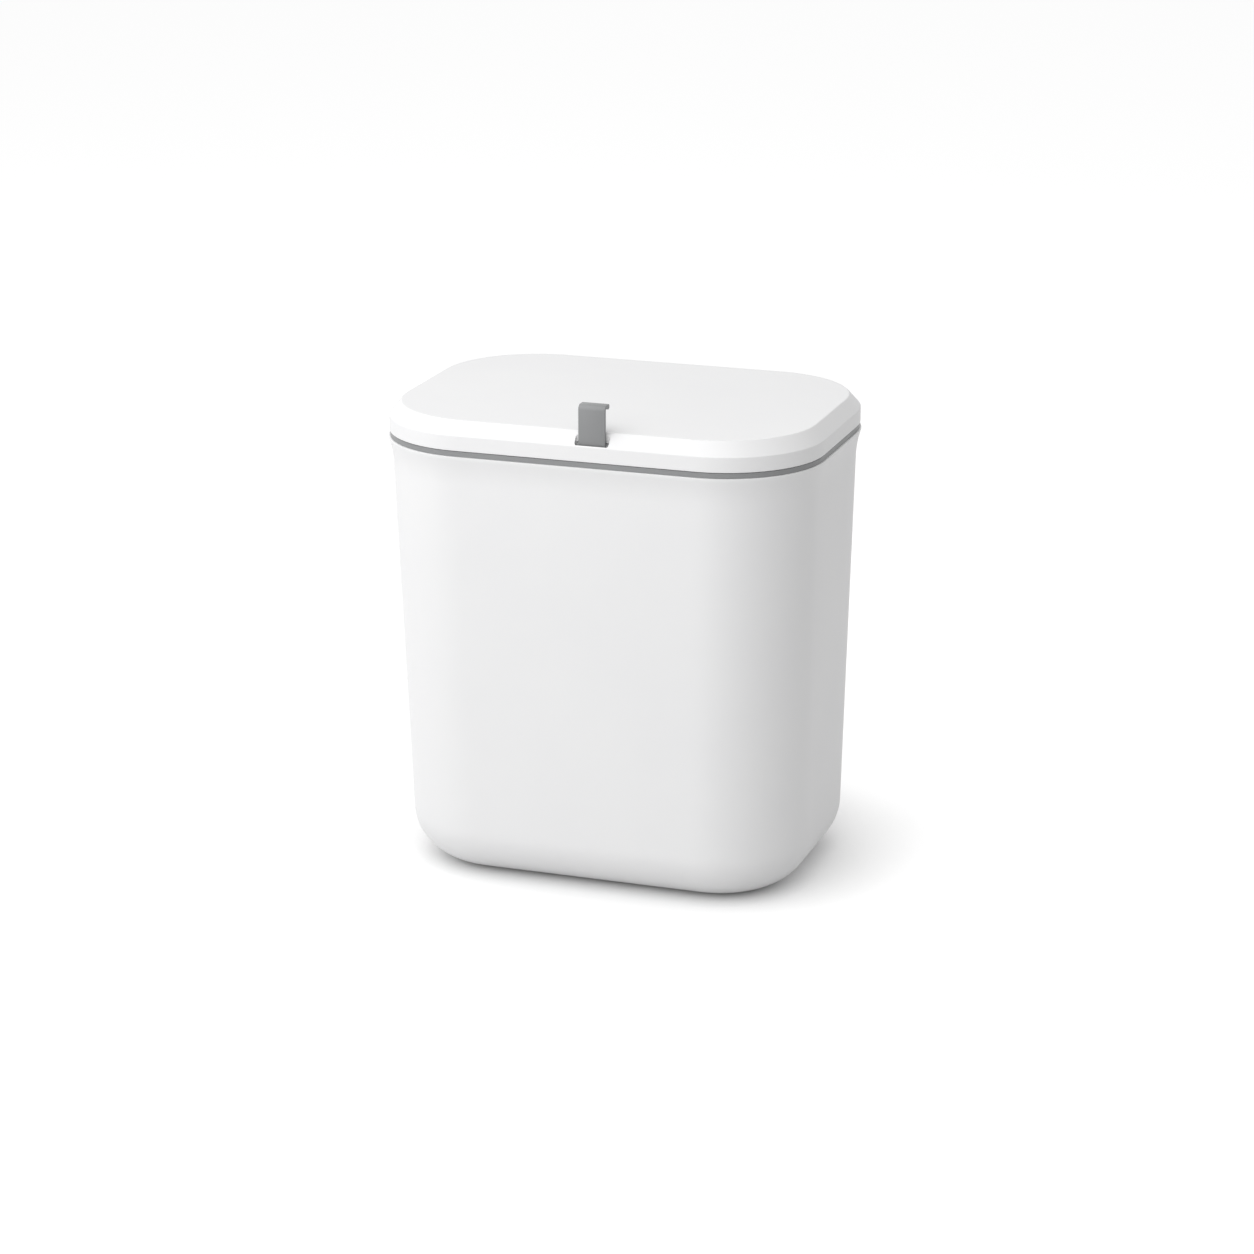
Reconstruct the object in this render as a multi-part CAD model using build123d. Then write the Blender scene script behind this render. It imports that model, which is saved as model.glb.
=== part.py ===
from build123d import *
import math
import os

# Wall-hung kitchen waste bin: a tapered white bucket, a grey bag ring on its rim, a white hinged lid
# with a grey hooked lock tab, and a wall bracket that the bucket drops onto.
# Millimetres, +Z up, front towards -Y. The origin is the bottom centre of the whole part's box.

# Lid outline, at the foot of its skirt
lid_width = 250.0
lid_depth = 179.5
lid_corner_radius = 56.4

# Bucket
rim_height = 251.0
rim_overhang = 0.75
flare_height = 18.0
neck_inset = 2.2
side_taper = 5.7
front_taper = 11.1
back_taper = 3.0
foot_corner_radius = 53.0
bottom_radius = 29.0
bucket_wall = 2.2
bucket_floor = 2.6
foot_ring_width = 7.0
foot_ring_height = 1.4

# Bag ring
band_inset = 0.4
flange_height = 3.0
collar_depth = 13.0
collar_wall = 2.0
bag_gap = 0.7

# Lid cover
lid_gap = 0.3
skirt_height = 8.4
bevel_height = 7.7
bevel_inset = 5.8
top_corner_radius = 45.0
lid_wall = 2.2

# Lid liner, its seal and its screws
liner_thickness = 1.8
liner_height = 2.5
liner_gap = 0.5
field_inset = 40.0
field_depth = 0.6
seal_width = 3.0
seal_edge = 1.4
groove_depth = 0.8
screw_radius = 1.4
screw_length = 8.0
screw_head_radius = 3.0
screw_head_height = 1.6
screw_slot_length = 3.4
screw_slot_width = 0.8
screw_slot_depth = 0.8
screw_clearance = 0.15
boss_wall = 2.2
boss_edge = 27.5

# Lid hinge, made twice
hinge_spacing = 100.0
hinge_setback = 4.2
hinge_rise = 6.0
knuckle_radius = 3.4
knuckle_length = 16.0
lug_thickness = 4.0
lug_gap = 0.4
pin_radius = 1.5
pin_head_radius = 2.4
pin_head_height = 1.0
running_fit = 0.06
fixed_fit = 0.02

# Lock tab
tab_x = 10.6
tab_width = 15.2
tab_thickness = 2.0
tab_setback = 1.35
tab_rise = 15.2
tab_reach = 5.9
tab_bend_radius = 2.8
tab_bead_radius = 1.5
pivot_setback = 4.45
pivot_drop = 0.3
hub_radius = 2.1
hub_side = 1.9
tab_pin_radius = 1.0
tab_pin_reach = 2.6
arm_width = 12.0
arm_setback = 15.4
arm_length = 20.4
nose_reach = 2.0
nose_height = 3.6
slot_side = 2.15
slot_front_gap = 0.4
slot_back_gap = 0.95
slot_radius = 1.2
ear_gap = 0.4
ear_thickness = 3.0
ear_depth = 5.0
window_side = 0.6

# Keeper on the bag ring, under which the tab's nose locks, and its rivets
keeper_width = 14.0
keeper_thickness = 1.0
keeper_reach = 5.7
keeper_height = 6.5
keeper_rise = 0.4
rivet_spacing = 8.0
rivet_drop = 3.5
rivet_radius = 1.0
rivet_head_radius = 1.8
rivet_head_height = 0.5

# Wall bracket and its pads
wall_gap = 17.25
plate_width = 116.0
plate_height = 66.0
plate_thickness = 3.0
plate_radius = 8.0
plate_clear = 1.2
tongue_spacing = 60.0
tongue_width = 16.0
tongue_thickness = 3.0
tongue_reach = 20.0
tongue_lead = 1.0
web_height = 6.0
wall_hole_radius = 2.2
wall_hole_spacing_x = 96.0
wall_hole_spacing_z = 44.0
countersink_radius = 3.7
pad_width = 34.0
pad_height = 56.0
pad_thickness = 1.2
pad_radius = 4.0
pad_spacing = 44.0

# Hanger on the bucket's back, with two sockets that take the bracket's tongues
socket_drop = 61.0
socket_roof = 3.0
socket_slope = 11.0
socket_wall = 2.4
socket_fit = 0.3
hanger_width = 112.0
hanger_height = 40.0
hanger_thickness = 2.4
hanger_radius = 5.0
hanger_screw_spacing_x = 98.0
hanger_screw_spacing_z = 26.0
hanger_boss_radius = 3.8
hanger_boss_height = 6.0
hanger_screw_length = 9.4

# Bumpers low on the back, which keep the hanging bucket upright
bumper_spacing = 90.0
bumper_height = 45.0
bumper_tip_radius = 7.5
bumper_root_radius = 10.5
bumper_edge = 1.0
bumper_stem_radius = 2.5
bumper_bulb_radius = 3.6
bumper_bulb_length = 4.0
bumper_fit = 0.1

# Heights and depths that follow from the sizes above
neck_z = rim_height - flare_height
ring_top = rim_height + flange_height
skirt_z = ring_top + lid_gap
crease_z = skirt_z + skirt_height
lid_top = crease_z + bevel_height
liner_z = ring_top + liner_height
liner_top = liner_z + liner_thickness
lid_front = -lid_depth / 2
lid_back = lid_depth / 2
wall_y = lid_back + wall_gap
socket_base = rim_height - socket_drop
hinge_y = lid_back + hinge_setback
hinge_z = ring_top + hinge_rise
pivot_y = lid_front + pivot_setback
pivot_z = crease_z - pivot_drop
origin_y = (wall_y + lid_front - rim_overhang) / 2


def outline(half_x, front, back, radius, z):
    """A rounded rectangle at height z, from y = -front to y = back."""
    face = RectangleRounded(2 * half_x, front + back, radius)
    return Pos(0, (back - front) / 2, z) * face


def lid_outline(inset, z, radius=None):
    """The lid's outline moved in by inset, at height z."""
    corner = lid_corner_radius - inset if radius is None else radius
    return outline(lid_width / 2 - inset, lid_depth / 2 - inset, lid_depth / 2 - inset, corner, z)


def band(outer_inset, inner_inset, z_low, z_high):
    """A closed band that follows the lid's outline between two insets."""
    ring = lid_outline(outer_inset, z_low) - lid_outline(inner_inset, z_low)
    return extrude(ring, amount=z_high - z_low)


def block(x_low, x_high, y_low, y_high, z_low, z_high):
    """A box between two corners."""
    size = (x_high - x_low, y_high - y_low, z_high - z_low)
    centre = ((x_low + x_high) / 2, (y_low + y_high) / 2, (z_low + z_high) / 2)
    return Pos(*centre) * Box(*size)


def rod_x(x_low, x_high, y, z, radius):
    """A round rod along X."""
    length = x_high - x_low
    return Pos((x_low + x_high) / 2, y, z) * Rot(0, 90, 0) * Cylinder(radius, length)


def rod_y(x, y_low, y_high, z, radius):
    """A round rod along Y."""
    length = y_high - y_low
    return Pos(x, (y_low + y_high) / 2, z) * Rot(90, 0, 0) * Cylinder(radius, length)


def side_profile(faces, x_low, x_high):
    """Faces drawn with Y across and Z up, extruded from x_low to x_high."""
    return extrude(Plane.YZ.offset(x_low) * faces, amount=x_high - x_low)


def bucket_plan(z, inset):
    """Half width, front, back and corner radius of the bucket at height z, moved in by inset."""
    neck_radius = lid_corner_radius - neck_inset
    drop = max(0.0, 1 - z / neck_z)
    flare = (neck_inset + rim_overhang) * max(0.0, (z - neck_z) / flare_height) ** 2
    grow = flare - neck_inset - inset
    half_x = lid_width / 2 + grow - side_taper * drop
    front = lid_depth / 2 + grow - front_taper * drop
    back = lid_depth / 2 + grow - back_taper * drop
    radius = neck_radius + (foot_corner_radius - neck_radius) * drop + flare - inset
    return half_x, front, back, radius


def bucket_form(inset, z_low, fillet_radius):
    """The bucket's outer or inner form: a drafted tub, a concave flare and a round lower edge."""
    tub = loft([outline(*bucket_plan(z, inset), z) for z in (z_low, neck_z)], ruled=True)
    steps = [neck_z + flare_height * i / 4 for i in range(5)]
    flare = loft([outline(*bucket_plan(z, inset), z) for z in steps])
    form = tub + flare
    return fillet(form.edges().group_by(Axis.Z)[0], fillet_radius)


def bucket_back(z):
    """Where the bucket's back wall stands at height z."""
    return bucket_plan(z, 0)[2]


back_lean = math.degrees(math.atan2(back_taper, neck_z))
wall_through = bucket_wall * math.cos(math.radians(back_lean))


def on_back(x, z):
    """A place on the bucket's back wall, its own Z pointing straight out of the wall."""
    return Pos(x, bucket_back(z), z) * Rot(-90 - back_lean, 0, 0)


plate_back = wall_y - pad_thickness
plate_front = plate_back - plate_thickness
socket_back = plate_front - plate_clear
tongue_back = socket_back - socket_wall - socket_fit
tongue_front = tongue_back - tongue_thickness
tongue_half = tongue_width / 2
socket_half = tongue_half + socket_fit
socket_top = socket_base + tongue_reach + socket_fit
plate_z = socket_base + (tongue_reach - web_height) / 2 - (plate_height - 60) / 2


hanger_z = socket_top + socket_roof + socket_slope - hanger_height / 2
hanger_places = [
    (side * hanger_screw_spacing_x / 2, hanger_z + level * hanger_screw_spacing_z / 2)
    for side in (-1, 1)
    for level in (-1, 1)
]


def make_socket(x):
    """A closed-topped pocket with a sloped roof, standing on the bucket's back."""
    roof = socket_top + socket_roof
    side = Polyline(
        (bucket_back(socket_base), socket_base),
        (socket_back, socket_base),
        (socket_back, roof),
        (bucket_back(roof + socket_slope), roof + socket_slope),
        close=True,
    )
    half = socket_half + socket_wall
    shell = side_profile(make_face(side), x - half, x + half)
    shell = fillet(shell.edges().filter_by(Axis.Z).group_by(Axis.Y)[-1], socket_wall / 2)
    front = tongue_front - socket_fit
    cavity = block(x - socket_half, x + socket_half, front, tongue_back + socket_fit, socket_base, socket_top)
    core_root = bucket_back(socket_top) + hanger_thickness
    core = block(x - socket_half, x + socket_half, core_root, front - socket_wall, socket_base, socket_top)
    return shell - cavity - core


def make_hanger():
    """White hanger: a plate on the bucket's back with two sockets and four blind screw bosses."""
    plate = RectangleRounded(hanger_width, hanger_height, hanger_radius)
    hanger = on_back(0, hanger_z) * extrude(plate, amount=hanger_thickness)
    for side in (-1, 1):
        hanger += make_socket(side * tongue_spacing / 2)
    boss_top = hanger_thickness + hanger_boss_height
    for x, z in hanger_places:
        hanger += on_back(x, z) * Pos(0, 0, boss_top / 2) * Cylinder(hanger_boss_radius, boss_top)
    for x, z in hanger_places:
        depth = hanger_screw_length - wall_through + fixed_fit
        hanger -= on_back(x, z) * Pos(0, 0, depth / 2) * Cylinder(screw_radius + fixed_fit, depth)
    return hanger


def make_bucket():
    """White polypropylene bucket with its rim flare, foot ring, and holes for the hanger and bumpers."""
    floor_z = foot_ring_height + bucket_floor
    bucket = bucket_form(0, 0, bottom_radius)
    bucket -= bucket_form(bucket_wall, floor_z, bottom_radius - bucket_wall)
    half_x, front, back, radius = bucket_plan(0, bottom_radius + foot_ring_width)
    recess = outline(half_x, front, back, radius, 0)
    bucket -= extrude(recess, amount=foot_ring_height)
    for x, z in hanger_places:
        bucket -= on_back(x, z) * Cylinder(screw_radius + screw_clearance, 3 * bucket_wall)
    for side in (-1, 1):
        hole = Cylinder(bumper_stem_radius + bumper_fit, 3 * bucket_wall)
        bucket -= on_back(side * bumper_spacing / 2, bumper_height) * hole
    return bucket


def make_bumper(x):
    """A rubber bumper whose stem is pulled through the bucket's back until its bulb holds it."""
    root = bucket_back(bumper_height) - bucket_wall / 2
    cone = Cone(bumper_root_radius, bumper_tip_radius, wall_y - root)
    body = Pos(x, (root + wall_y) / 2, bumper_height) * Rot(-90, 0, 0) * cone
    body = chamfer(body.edges().group_by(Axis.Y)[-1], bumper_edge)
    place = on_back(x, bumper_height)
    trim = 2 * bucket_wall
    body -= place * Pos(0, 0, -trim / 2) * Box(4 * bumper_root_radius, 4 * bumper_root_radius, trim)
    inside = wall_through + fixed_fit
    stem = place * Pos(0, 0, -inside / 2) * Cylinder(bumper_stem_radius, inside)
    bulb = Cone(bumper_stem_radius / 2, bumper_bulb_radius, bumper_bulb_length)
    return body + stem + place * Pos(0, 0, -inside - bumper_bulb_length / 2) * bulb


collar_half = bucket_plan(rim_height - collar_depth, bucket_wall)[0] - bag_gap
collar_inset = lid_width / 2 - collar_half
collar_inner = collar_inset + collar_wall
collar_front = lid_front + collar_inset
collar_face = lid_front + collar_inner
nose_z = pivot_z - arm_length
keeper_z = nose_z + nose_height + keeper_rise
rivet_z = keeper_z + keeper_height - rivet_drop
rivet_places = [tab_x - rivet_spacing / 2, tab_x + rivet_spacing / 2]


def hinge_lugs(x):
    """The two lugs of one hinge, rising from the back of the bag ring."""
    lugs = []
    inner = knuckle_length / 2 + lug_gap
    for side in (-1, 1):
        near = x + side * inner
        far = x + side * (inner + lug_thickness)
        low, high = min(near, far), max(near, far)
        foot = block(low, high, lid_back - collar_inner + collar_wall, hinge_y + knuckle_radius, rim_height, ring_top)
        post = block(low, high, hinge_y - knuckle_radius, hinge_y + knuckle_radius, rim_height, hinge_z)
        lugs.append(foot + post + rod_x(low, high, hinge_y, hinge_z, knuckle_radius))
    return lugs


def make_bag_ring():
    """Grey ring: a flange on the rim, a collar that traps the bag, the hinge lugs and rivet holes."""
    ring = band(band_inset, collar_inner, rim_height, ring_top)
    ring += band(collar_inset, collar_inner, rim_height - collar_depth, ring_top)
    for side in (-1, 1):
        x = side * hinge_spacing / 2
        for lug in hinge_lugs(x):
            ring += lug
        reach = knuckle_length / 2 + lug_gap + lug_thickness
        ring -= rod_x(x - reach, x + reach, hinge_y, hinge_z, pin_radius + fixed_fit)
    for x in rivet_places:
        ring -= rod_y(x, collar_front, collar_face, rivet_z, rivet_radius + fixed_fit)
    return ring


def make_tab_keeper():
    """Bent steel keeper: a leg riveted to the collar's inner face, and a lip that the tab's nose goes under."""
    foot = collar_face + fixed_fit
    profile = Polyline(
        (foot, keeper_z),
        (foot + keeper_reach, keeper_z),
        (foot + keeper_reach, keeper_z + keeper_thickness),
        (foot + keeper_thickness, keeper_z + keeper_thickness),
        (foot + keeper_thickness, keeper_z + keeper_height),
        (foot, keeper_z + keeper_height),
        close=True,
    )
    keeper = side_profile(make_face(profile), tab_x - keeper_width / 2, tab_x + keeper_width / 2)
    for x in rivet_places:
        keeper -= rod_y(x, foot, foot + keeper_thickness, rivet_z, rivet_radius + fixed_fit)
    return keeper


def make_keeper_rivets():
    """Two steel rivets through the collar and the keeper's leg."""
    rivets = []
    outer = collar_front - fixed_fit
    inner = collar_face + keeper_thickness + 2 * fixed_fit
    for x in rivet_places:
        shank = rod_y(x, outer, inner, rivet_z, rivet_radius)
        outer_head = rod_y(x, outer - rivet_head_height, outer, rivet_z, rivet_head_radius)
        inner_head = rod_y(x, inner, inner + rivet_head_height, rivet_z, rivet_head_radius)
        rivets.append(shank + outer_head + inner_head)
    return Part() + rivets


def make_hinge_pin(x, outward):
    """A headed steel pin through one hinge, its head on the outer lug."""
    reach = knuckle_length / 2 + lug_gap + lug_thickness
    pin = rod_x(x - reach, x + reach, hinge_y, hinge_z, pin_radius)
    near = x + outward * reach
    far = near + outward * pin_head_height
    return pin + rod_x(min(near, far), max(near, far), hinge_y, hinge_z, pin_head_radius)


def lid_form(inset):
    """The lid's outer form, or the form of its hollow when moved in by inset."""
    slope = math.atan2(bevel_height, bevel_inset)
    z_crease = crease_z - inset * math.tan((math.pi / 2 - slope) / 2)
    top_inset = bevel_inset + inset * math.tan(slope / 2)
    skirt = extrude(lid_outline(inset, skirt_z), amount=z_crease - skirt_z)
    top_radius = top_corner_radius - inset * math.tan(slope / 2)
    bevel = loft([lid_outline(inset, z_crease), lid_outline(top_inset, lid_top - inset, top_radius)], ruled=True)
    return skirt + bevel


boss_x = lid_width / 2 - boss_edge
boss_y = lid_depth / 2 - boss_edge
boss_places = [(x, y) for x in (-boss_x, 0, boss_x) for y in (-boss_y, boss_y)]
slot_front = lid_front + tab_setback - slot_front_gap
slot_back = lid_front + tab_setback + tab_thickness + slot_back_gap
hub_half = tab_width / 2 + hub_side


def make_lid_cover():
    """White lid cover: a thin shell with screw bosses, the tab's slot and ears, and two knuckles."""
    outer = lid_form(0)
    cover = outer - lid_form(lid_wall)
    boss_radius = screw_radius + boss_wall
    for x, y in boss_places:
        height = lid_top - lid_wall / 2 - liner_top
        boss = Pos(x, y, liner_top + height / 2) * Cylinder(boss_radius, height)
        cover += boss
    slot_width = tab_width + 2 * slot_side
    slot_depth = slot_back - slot_front
    slot_low = liner_top - lid_gap
    slot = Pos(tab_x, (slot_front + slot_back) / 2, slot_low) * RectangleRounded(slot_width, slot_depth, slot_radius)
    cover -= extrude(slot, amount=lid_top - slot_low)
    ear_root = lid_front + lid_wall / 2
    for side in (-1, 1):
        near = tab_x + side * (hub_half + ear_gap)
        far = near + side * ear_thickness
        back = lid_front + lid_wall + ear_depth
        ear = block(min(near, far), max(near, far), ear_root, back, liner_top + lid_gap, lid_top)
        cover += ear & outer
        x = side * hinge_spacing / 2
        half = knuckle_length / 2
        web_top = crease_z - lid_gap
        cover += block(x - half, x + half, lid_back - lid_wall / 2, hinge_y, hinge_z - knuckle_radius, web_top)
        cover += rod_x(x - half, x + half, hinge_y, hinge_z, knuckle_radius)
        cover -= rod_x(x - half, x + half, hinge_y, hinge_z, pin_radius + running_fit)
    pin_reach = hub_half + ear_gap + tab_pin_reach
    cover -= rod_x(tab_x - pin_reach, tab_x + pin_reach, pivot_y, pivot_z, tab_pin_radius + fixed_fit)
    for x, y in boss_places:
        hole = Cylinder(screw_radius + fixed_fit, screw_length)
        cover -= Pos(x, y, liner_top + screw_length / 2) * hole
    return cover


liner_inset = lid_wall + liner_gap
seal_outer = liner_inset + seal_edge
seal_inner = seal_outer + seal_width
seal_top = liner_z + groove_depth


def make_lid_liner():
    """White inner panel with a groove for the seal, a sunk field, screw holes and the arm's window."""
    liner = extrude(lid_outline(liner_inset, liner_z), amount=liner_thickness)
    liner -= band(seal_outer, seal_inner, liner_z, seal_top)
    liner -= extrude(lid_outline(field_inset, liner_z), amount=field_depth)
    for x, y in boss_places:
        liner -= Pos(x, y, liner_z + liner_thickness / 2) * Cylinder(screw_radius + screw_clearance, liner_thickness)
    half = arm_width / 2 + window_side
    window_front = lid_front + arm_setback - nose_reach
    window_back = lid_front + arm_setback + tab_thickness + slot_back_gap
    return liner - block(tab_x - half, tab_x + half, window_front, window_back, liner_z, liner_top)


def make_lid_seal():
    """Grey rubber seal in the liner's groove, resting on the bag ring."""
    return band(seal_outer + fixed_fit, seal_inner - fixed_fit, ring_top, seal_top)


def make_screw(length):
    """A self-tapping screw whose head hangs below z = 0 and whose shank rises to z = length."""
    head = Pos(0, 0, -screw_head_height / 2) * Cylinder(screw_head_radius, screw_head_height)
    head = chamfer(head.edges().group_by(Axis.Z)[0], screw_head_height / 2)
    for turn in (0, 90):
        slot = Box(screw_slot_length, screw_slot_width, 2 * screw_slot_depth)
        head -= Pos(0, 0, -screw_head_height) * Rot(0, 0, turn) * slot
    return head + Pos(0, 0, length / 2) * Cylinder(screw_radius, length)


def make_liner_screws():
    """Six self-tapping screws that hold the liner to the lid cover, their heads just under the liner."""
    head_top = liner_z - fixed_fit
    screw = make_screw(liner_top + screw_length - head_top)
    return Part() + [Pos(x, y, head_top) * screw for x, y in boss_places]


def make_hanger_screws():
    """Four self-tapping screws from inside the bucket into the hanger's bosses."""
    screw = make_screw(hanger_screw_length)
    return Part() + [on_back(x, z) * Pos(0, 0, -wall_through - fixed_fit) * screw for x, z in hanger_places]


def make_lock_tab():
    """Grey lever: a blade with a curled top, a hub on the pin, and an arm with a nose."""
    front = lid_front + tab_setback
    back = front + tab_thickness
    top = lid_top + tab_rise
    bend_y = front + tab_bend_radius
    bend_z = top - tab_bend_radius
    low = pivot_z - hub_radius
    inner_bend = tab_bend_radius - tab_thickness
    blade = Pos((front + back) / 2, (pivot_z + bend_z) / 2) * Rectangle(tab_thickness, bend_z - pivot_z)
    quarter = Pos(front + tab_bend_radius / 2, top - tab_bend_radius / 2) * Rectangle(tab_bend_radius, tab_bend_radius)
    bend = (Pos(bend_y, bend_z) * (Circle(tab_bend_radius) - Circle(inner_bend))) & quarter
    tip = front + tab_reach
    lip_end = tip - tab_bead_radius
    lip = Pos((bend_y + lip_end) / 2, top - tab_thickness / 2) * Rectangle(lip_end - bend_y, tab_thickness)
    bead = Pos(lip_end, top - tab_bead_radius) * Circle(tab_bead_radius)
    hook = side_profile(blade + bend + lip + bead, tab_x - tab_width / 2, tab_x + tab_width / 2)

    arm_front = lid_front + arm_setback
    arm_back = arm_front + tab_thickness
    arm_top = pivot_z + tab_thickness / 2
    web = Pos((front + arm_back) / 2, pivot_z) * Rectangle(arm_back - front, tab_thickness)
    arm = Pos((arm_front + arm_back) / 2, (nose_z + arm_top) / 2) * Rectangle(tab_thickness, arm_top - nose_z)
    nose = make_face(
        Polyline(
            (arm_front, nose_z),
            (arm_front - nose_reach, nose_z + nose_height / 2),
            (arm_front - nose_reach, nose_z + nose_height),
            (arm_front, nose_z + nose_height),
            close=True,
        )
    )
    lever = side_profile(web + arm + nose, tab_x - arm_width / 2, tab_x + arm_width / 2)
    hub = rod_x(tab_x - hub_half, tab_x + hub_half, pivot_y, pivot_z, hub_radius)
    tab = hook + lever + hub
    return tab - rod_x(tab_x - hub_half, tab_x + hub_half, pivot_y, pivot_z, tab_pin_radius + running_fit)


def make_tab_pin():
    """Steel pin that carries the lock tab between the ears under the lid."""
    reach = hub_half + ear_gap + tab_pin_reach
    return rod_x(tab_x - reach, tab_x + reach, pivot_y, pivot_z, tab_pin_radius)


def make_wall_bracket():
    """White wall plate with four countersunk holes and two upright tongues."""
    face = Pos(0, plate_z) * RectangleRounded(plate_width, plate_height, plate_radius)
    plate = extrude(Plane.XZ.offset(-plate_back) * face, amount=plate_thickness)
    for side in (-1, 1):
        x = side * tongue_spacing / 2
        tongue = block(
            x - tongue_half,
            x + tongue_half,
            tongue_front,
            tongue_back,
            socket_base - web_height,
            socket_base + tongue_reach,
        )
        tongue = chamfer(tongue.edges().group_by(Axis.Z)[-1], tongue_lead)
        web = block(x - tongue_half, x + tongue_half, tongue_front, plate_front, socket_base - web_height, socket_base)
        plate += tongue + web
        for level in (-1, 1):
            hole_x = side * wall_hole_spacing_x / 2
            hole_z = plate_z + level * wall_hole_spacing_z / 2
            plate -= rod_y(hole_x, plate_front, plate_back, hole_z, wall_hole_radius)
            sink_depth = countersink_radius - wall_hole_radius
            sink = Cone(countersink_radius, wall_hole_radius, sink_depth)
            plate -= Pos(hole_x, plate_front + sink_depth / 2, hole_z) * Rot(-90, 0, 0) * sink
    return plate


def make_pad(x):
    """A strip of foam mounting tape on the back of the wall plate."""
    face = Pos(x, plate_z) * RectangleRounded(pad_width, pad_height, pad_radius)
    return extrude(Plane.XZ.offset(-wall_y) * face, amount=pad_thickness)


pieces = {
    "bucket": make_bucket(),
    "hanger": make_hanger(),
    "hanger_screws": make_hanger_screws(),
    "bumper_left": make_bumper(-bumper_spacing / 2),
    "bumper_right": make_bumper(bumper_spacing / 2),
    "bag_ring": make_bag_ring(),
    "tab_keeper": make_tab_keeper(),
    "keeper_rivets": make_keeper_rivets(),
    "hinge_pin_left": make_hinge_pin(-hinge_spacing / 2, -1),
    "hinge_pin_right": make_hinge_pin(hinge_spacing / 2, 1),
    "lid_cover": make_lid_cover(),
    "lid_liner": make_lid_liner(),
    "lid_seal": make_lid_seal(),
    "liner_screws": make_liner_screws(),
    "lock_tab": make_lock_tab(),
    "tab_pin": make_tab_pin(),
    "wall_bracket": make_wall_bracket(),
    "mounting_pad_left": make_pad(-pad_spacing / 2),
    "mounting_pad_right": make_pad(pad_spacing / 2),
}

os.makedirs("parts", exist_ok=True)
for name, shape in pieces.items():
    export_step(Pos(0, -origin_y, 0) * shape, f"parts/{name}.step")
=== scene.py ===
import math

import bmesh
import bpy
from mathutils import Matrix, Vector


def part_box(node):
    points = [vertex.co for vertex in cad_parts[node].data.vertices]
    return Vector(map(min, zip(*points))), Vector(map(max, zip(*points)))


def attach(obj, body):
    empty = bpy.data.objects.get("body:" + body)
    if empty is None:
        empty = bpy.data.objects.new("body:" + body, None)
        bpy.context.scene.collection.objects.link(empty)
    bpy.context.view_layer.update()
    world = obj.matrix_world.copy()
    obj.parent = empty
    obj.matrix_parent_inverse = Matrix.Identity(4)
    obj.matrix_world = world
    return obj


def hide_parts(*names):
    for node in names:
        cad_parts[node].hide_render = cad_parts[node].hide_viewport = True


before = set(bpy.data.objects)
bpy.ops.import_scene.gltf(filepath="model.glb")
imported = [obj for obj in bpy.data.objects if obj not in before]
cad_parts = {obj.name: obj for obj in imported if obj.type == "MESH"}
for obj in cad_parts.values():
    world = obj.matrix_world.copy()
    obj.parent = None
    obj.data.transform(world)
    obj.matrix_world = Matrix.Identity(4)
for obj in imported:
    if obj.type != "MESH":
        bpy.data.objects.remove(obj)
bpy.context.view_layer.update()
mm = 0.001

# Camera
# A long lens a little above the lid, from the front and slightly to the right, so that the sides of
# the bin hardly run together.
camera_turn = math.radians(18.85)
camera_rise = math.radians(17.33)
camera_distance = 2049.7 * mm
camera_target = Vector((0.58, -8.25, 134.41)) * mm
towards_camera = Vector(
    (
        math.sin(camera_turn) * math.cos(camera_rise),
        -math.cos(camera_turn) * math.cos(camera_rise),
        math.sin(camera_rise),
    )
)
camera = bpy.data.objects.new("camera", bpy.data.cameras.new("camera"))
camera.data.sensor_width = 36
camera.data.lens = 103.06
camera.location = camera_target + towards_camera * camera_distance
camera.rotation_euler = towards_camera.to_track_quat("Z", "Y").to_euler()
bpy.context.scene.collection.objects.link(camera)
bpy.context.scene.camera = camera
bpy.context.scene.view_settings.view_transform = "Standard"


# Room and lamp
# A white room lights every side evenly, and one broad lamp stands at the front left, above the lid.
# The room is seen as plain white, also in gloss.
def add_node(tree, kind, inputs=None, **settings):
    """Add a node with its settings. An input is a value, or another node's output to join to it."""
    made = tree.nodes.new(kind)
    for name, value in settings.items():
        setattr(made, name, value)
    for name, value in (inputs or {}).items():
        if isinstance(value, bpy.types.NodeSocket):
            tree.links.new(value, made.inputs[name])
        else:
            made.inputs[name].default_value = value
    return made


def is_seen(tree):
    """1 for what the camera sees directly, in gloss or through glass, and 0 for light on surfaces."""
    ray = add_node(tree, "ShaderNodeLightPath")
    direct = ray.outputs["Is Camera Ray"]
    gloss = ray.outputs["Is Glossy Ray"]
    glass = ray.outputs["Is Transmission Ray"]
    either = add_node(tree, "ShaderNodeMath", {0: direct, 1: gloss}, operation="MAXIMUM")
    return add_node(tree, "ShaderNodeMath", {0: either.outputs[0], 1: glass}, operation="MAXIMUM").outputs[0]


white = (1.0, 1.0, 1.0, 1.0)
room = bpy.data.worlds.new("room")
bpy.context.scene.world = room
room.use_nodes = True
room.node_tree.nodes.clear()
room_light = add_node(room.node_tree, "ShaderNodeBackground", {"Color": white, "Strength": 0.52})
room_seen = add_node(room.node_tree, "ShaderNodeBackground", {"Color": white, "Strength": 1.0})
room_mix = add_node(
    room.node_tree,
    "ShaderNodeMixShader",
    {0: is_seen(room.node_tree), 1: room_light.outputs[0], 2: room_seen.outputs[0]},
)
add_node(room.node_tree, "ShaderNodeOutputWorld", {"Surface": room_mix.outputs[0]})

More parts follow.
